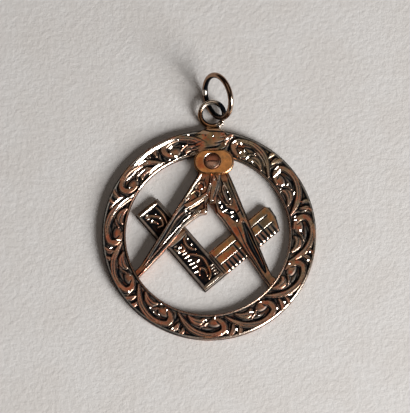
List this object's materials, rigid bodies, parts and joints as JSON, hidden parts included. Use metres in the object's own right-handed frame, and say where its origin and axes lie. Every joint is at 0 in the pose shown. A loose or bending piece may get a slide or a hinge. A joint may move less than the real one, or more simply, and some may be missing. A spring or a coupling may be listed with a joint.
{
  "type": "masonic pendant",
  "caption": "Round rose gold pendant: a scroll-engraved ring round a square and compasses joined to it by a screw, with a bail loop and a jump ring to hang it by.",
  "frame": {"origin": "middle of the ring, on the plane of its flat back", "axes": "+Y from the middle of the ring towards the bail loop, +Z out of the engraved front, +X to the right seen from the front"},
  "size_m": [0.028, 0.0352, 0.0056],
  "materials": {
    "ring_gold": "polished rose gold, engraved, dark in the cuts",
    "compasses_gold": "polished rose gold, engraved, dark in the cuts",
    "square_gold": "worn rose gold, engraved, dark in the cuts",
    "screw_gold": "polished rose gold, tarnished in the slot",
    "wire_gold": "polished gold wire, lightly tarnished"
  },
  "bodies": {
    "root": {"ring_frame": "ring_gold", "compasses": "compasses_gold", "square": "square_gold", "pivot_screw": "screw_gold", "jump_ring": "wire_gold"}
  },
  "joints": []
}
